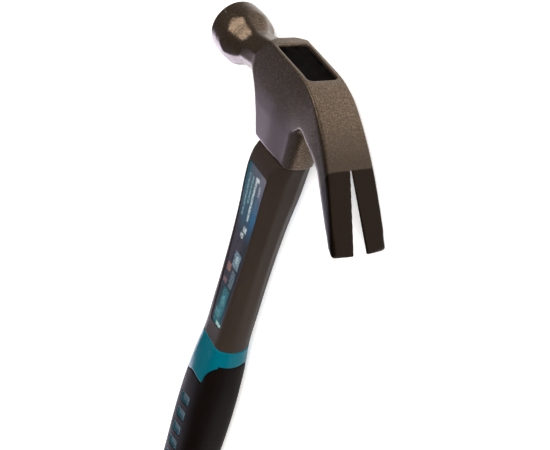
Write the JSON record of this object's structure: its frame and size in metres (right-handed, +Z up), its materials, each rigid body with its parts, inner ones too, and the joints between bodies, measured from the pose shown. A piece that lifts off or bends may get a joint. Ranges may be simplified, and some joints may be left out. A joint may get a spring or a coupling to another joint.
{
  "type": "claw hammer",
  "caption": "Claw hammer with a forged head, curved V-slotted claws, a fibreglass core, a faceted plastic jacket and a soft two-colour rubber grip.",
  "frame": {"origin": "centre of the footprint, on the table the hammer lies on", "axes": "+X along the handle from the butt to the top of the head, +Y across the handle to the striking face, +Z up through the cheeks"},
  "size_m": [0.33, 0.1376, 0.028],
  "materials": {
    "powder_coated_steel": "bronze-grey metallic powder coat with fine grain, satin",
    "fibreglass": "pultruded glass fibre rod, raw",
    "epoxy": "poured black resin",
    "black_rubber": "matt moulded rubber",
    "grey_plastic": "dark grey moulded plastic, fine texture, satin",
    "teal_plastic": "teal moulded plastic, semi-gloss",
    "printed_label": "blue and teal printed sticker, clear film"
  },
  "bodies": {
    "root": {"hammer_head": "powder_coated_steel", "fibreglass_core": "fibreglass", "epoxy_potting": "epoxy", "eye_dam": "black_rubber", "shaft_jacket": "grey_plastic", "grip_sleeve": "teal_plastic", "grip_cover": "black_rubber", "label_upper": "printed_label", "label_lower": "printed_label"}
  },
  "joints": []
}
